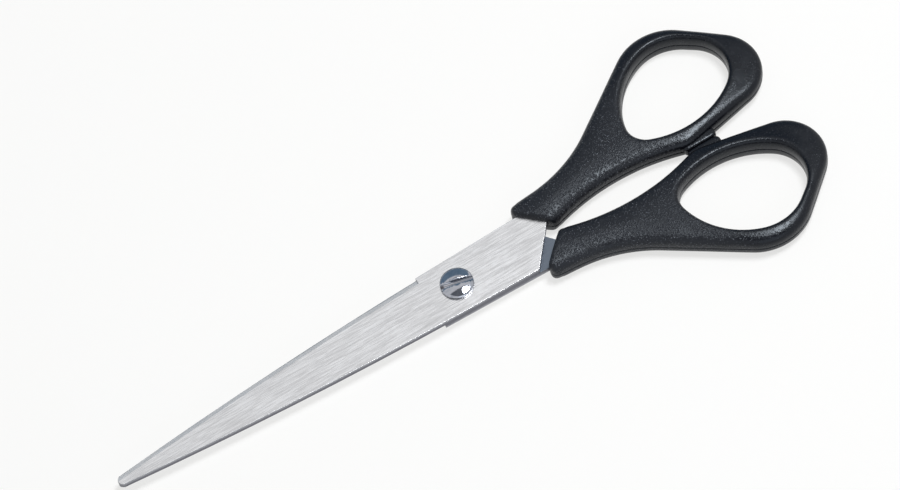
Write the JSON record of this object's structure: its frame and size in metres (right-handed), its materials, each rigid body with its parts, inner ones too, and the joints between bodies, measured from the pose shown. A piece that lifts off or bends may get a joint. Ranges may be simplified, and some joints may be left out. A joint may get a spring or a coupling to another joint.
{
  "type": "fabric shears",
  "caption": "Straight stainless shears with slim tapered blades, a slotted pivot screw and moulded black handles with oval finger loops.",
  "frame": {"origin": "on the pivot axis, in the shear plane between the two blades; with the loops as far behind the pivot as the tips are in front of it, this is also the centre of the closed shears' box", "axes": "+X from the pivot towards the finger loops, +Y towards the upper handle, +Z along the pivot axis, out of the slotted screw head"},
  "size_m": [0.21, 0.0758, 0.0084],
  "materials": {
    "blade_steel": "stainless steel, brushed along the blade",
    "handle_plastic": "black moulded plastic, satin on the loops and finely spark-eroded on the shanks",
    "screw_steel": "polished nickel-plated steel"
  },
  "bodies": {
    "lower_half": {"lower_blade": "blade_steel", "lower_handle": "handle_plastic", "pivot_screw": "screw_steel", "spring_washer": "screw_steel", "pivot_nut": "screw_steel"},
    "upper_half": {"upper_blade": "blade_steel", "upper_handle": "handle_plastic"}
  },
  "joints": [
    {"name": "blade_pivot", "type": "hinge", "parent": "lower_half", "child": "upper_half", "pos_m": [0, 0, 0], "axis": [0, 0, 1], "range_deg": [0, 70]}
  ]
}
